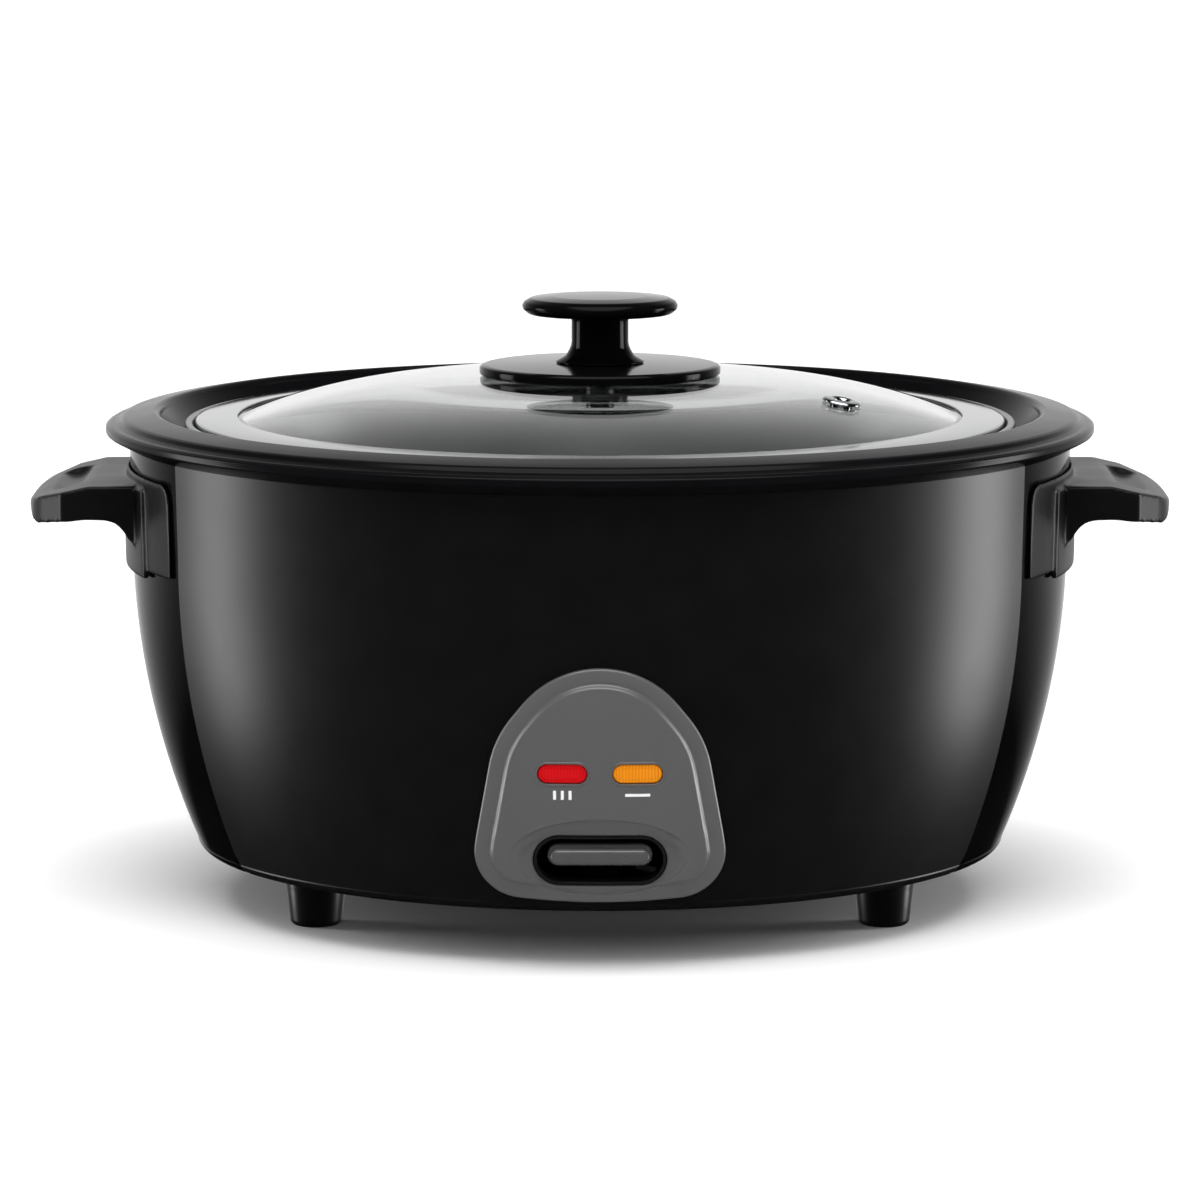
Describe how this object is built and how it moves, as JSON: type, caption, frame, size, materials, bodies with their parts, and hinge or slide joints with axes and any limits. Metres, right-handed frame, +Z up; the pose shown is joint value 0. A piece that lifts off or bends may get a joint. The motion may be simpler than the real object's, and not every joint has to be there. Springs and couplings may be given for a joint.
{
  "type": "rice cooker",
  "caption": "Round lever-switch rice cooker with side handles, grey control panel, domed glass lid with knob, lift-out pot and standing feet.",
  "frame": {"origin": "on the floor, under the middle of the round body", "axes": "+Z up, -Y towards the control panel, +X towards the right-hand handle as seen from the front"},
  "size_m": [0.4074, 0.3528, 0.2168],
  "materials": {
    "shell": "satin near-black",
    "side": "gloss black",
    "collar": "gloss black",
    "base": "matt black",
    "foot": "matt black",
    "handle": "satin black, fine grain",
    "screw": "zinc-plated",
    "panel": "satin grey",
    "frame": "satin dark grey",
    "lens_red": "clear red, ribbed behind",
    "lens_amber": "clear amber, ribbed behind",
    "holder": "matt ivory",
    "lamp": "clear",
    "casing": "galvanised sheet",
    "plate": "turned casting",
    "brass": "nickel-free brass",
    "heater_band": "foil over mica",
    "steel": "plated",
    "cap": "drawn",
    "magnet": "dark ferrite",
    "key": "satin grey",
    "switch": "matt dark blue-grey",
    "plunger": "red",
    "fuse": "tan ceramic",
    "socket": "matt black",
    "wire_brown": "sleeve",
    "wire_blue": "sleeve",
    "wire_green": "sleeve",
    "wire_grey": "sleeve",
    "wire_white": "sleeve",
    "pot": "satin, spun",
    "glass": "clear tempered",
    "lid_steel": "polished stainless",
    "knob": "gloss black",
    "gasket": "milky silicone"
  },
  "bodies": {
    "casing": {"front_shell": "shell", "rear_shell": "shell", "side_panel_left": "side", "side_panel_right": "side", "rim_collar": "collar", "base_plate": "base", "base_screws": "screw", "foot_front_left": "foot", "foot_front_right": "foot", "foot_rear_left": "foot", "foot_rear_right": "foot", "foot_screws": "screw", "handle_left": "handle", "handle_right": "handle", "handle_screws": "screw", "control_panel": "panel", "lever_frame": "frame", "cook_lens": "lens_red", "warm_lens": "lens_amber", "lamp_holder": "holder", "neon_lamps": "lamp", "inner_casing": "casing", "casing_screws": "screw", "heating_plate": "plate", "plate_screws": "screw", "heater_terminals": "brass", "warm_heater": "heater_band", "thermostat_base": "steel", "lever_pin": "steel", "lever_bracket": "steel", "micro_switch": "switch", "thermal_fuse": "fuse", "fuse_clip": "casing", "inlet_socket": "socket", "inlet_pins": "brass", "inlet_screws": "screw", "wire_live": "wire_brown", "wire_neutral": "wire_blue", "wire_earth": "wire_green", "wire_switched": "wire_grey", "wire_lamps": "wire_white"},
    "lever": {"lever_key": "key", "lever_arm": "steel"},
    "puller": {"pull_magnet": "magnet", "pull_rod": "steel", "release_spring": "steel"},
    "sensor": {"sensor_cap": "cap", "sensor_ferrite": "magnet", "sensor_spring": "steel"},
    "plunger": {"switch_plunger": "plunger"},
    "pot": {"inner_pot": "pot"},
    "lid": {"lid_glass": "glass", "lid_rim": "lid_steel", "knob": "knob", "knob_skirt": "knob", "knob_screw": "screw", "knob_washer": "screw", "knob_gasket": "gasket", "steam_eyelet": "lid_steel"}
  },
  "joints": [
    {"name": "lever_tilt", "type": "hinge", "parent": "casing", "child": "lever", "pos_m": [0, -0.075, 0.035], "axis": [1, 0, 0], "range_deg": [0, 3.8], "stiffness_Nm_per_rad": 0.5, "springref_deg": -11.46},
    {"name": "magnet_slide", "type": "slide", "parent": "casing", "child": "puller", "axis": [0, 0, 1], "range_m": [0, 0.005], "stiffness_N_per_m": 250, "springref_m": -0.004, "deforming": ["release_spring"]},
    {"name": "plunger_slide", "type": "slide", "parent": "casing", "child": "plunger", "axis": [0, 0, -1], "range_m": [0, 0.0022], "stiffness_N_per_m": 150, "springref_m": -0.001},
    {"name": "sensor_rise", "type": "slide", "parent": "casing", "child": "sensor", "axis": [0, 0, 1], "range_m": [0, 0.004], "stiffness_N_per_m": 300, "springref_m": 0.006, "deforming": ["sensor_spring"]},
    {"name": "pot_lift", "type": "slide", "parent": "casing", "child": "pot", "axis": [0, 0, 1], "range_m": [0, 0.17]},
    {"name": "lid_lift", "type": "slide", "parent": "pot", "child": "lid", "axis": [0, 0, 1], "range_m": [0, 0.1]}
  ],
  "couplings": [
    {"joint": "magnet_slide", "follows": "lever_tilt", "m_per_rad": 0.075},
    {"joint": "plunger_slide", "follows": "lever_tilt", "m_per_rad": 0.033},
    {"joint": "sensor_rise", "follows": "pot_lift", "ratio": 0.0235}
  ]
}
